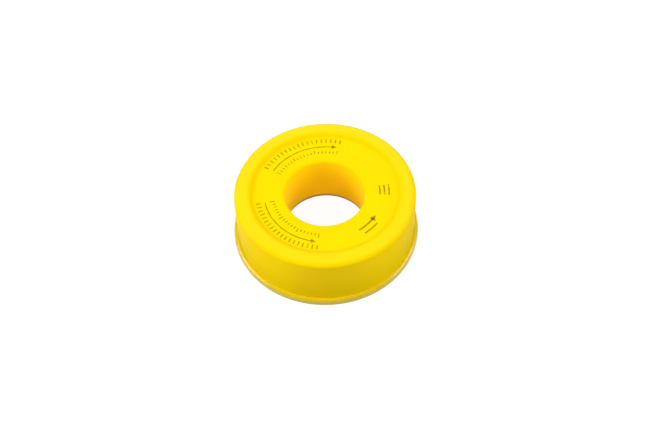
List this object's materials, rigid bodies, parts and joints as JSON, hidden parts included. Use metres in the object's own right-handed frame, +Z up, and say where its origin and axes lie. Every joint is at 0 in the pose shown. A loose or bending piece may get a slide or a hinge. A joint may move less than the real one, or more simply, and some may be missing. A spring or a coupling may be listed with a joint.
{
  "type": "thread seal tape roll",
  "caption": "Round flat roll of thread seal tape: a flanged reel, a winding of tape that turns on its hub, and a push-on cover with a raised rim, plain skirt and collar lining the finger hole.",
  "frame": {"origin": "on the axis of the bore, at the foot of the reel where the roll stands", "axes": "+Z up along the bore, the way the cover lifts off; the roll is round about +Z, so +X and +Y are free"},
  "size_m": [0.0502, 0.0502, 0.0168],
  "materials": {
    "cover_plastic": "satin moulded yellow",
    "reel_plastic": "satin moulded yellow",
    "core_plastic": "matt natural white",
    "seal_tape": "soft silky white film",
    "print_ink": "thin ochre ink"
  },
  "bodies": {
    "reel": {"reel": "reel_plastic"},
    "tape_roll": {"tape_core": "core_plastic", "tape_winding": "seal_tape"},
    "cover": {"cover": "cover_plastic"}
  },
  "joints": [
    {"name": "tape_spin", "type": "hinge", "parent": "reel", "child": "tape_roll", "pos_m": [0, 0, 0.0081], "axis": [0, 0, 1], "continuous": true},
    {"name": "cover_lift", "type": "slide", "parent": "reel", "child": "cover", "axis": [0, 0, 1], "range_m": [0, 0.025]}
  ]
}
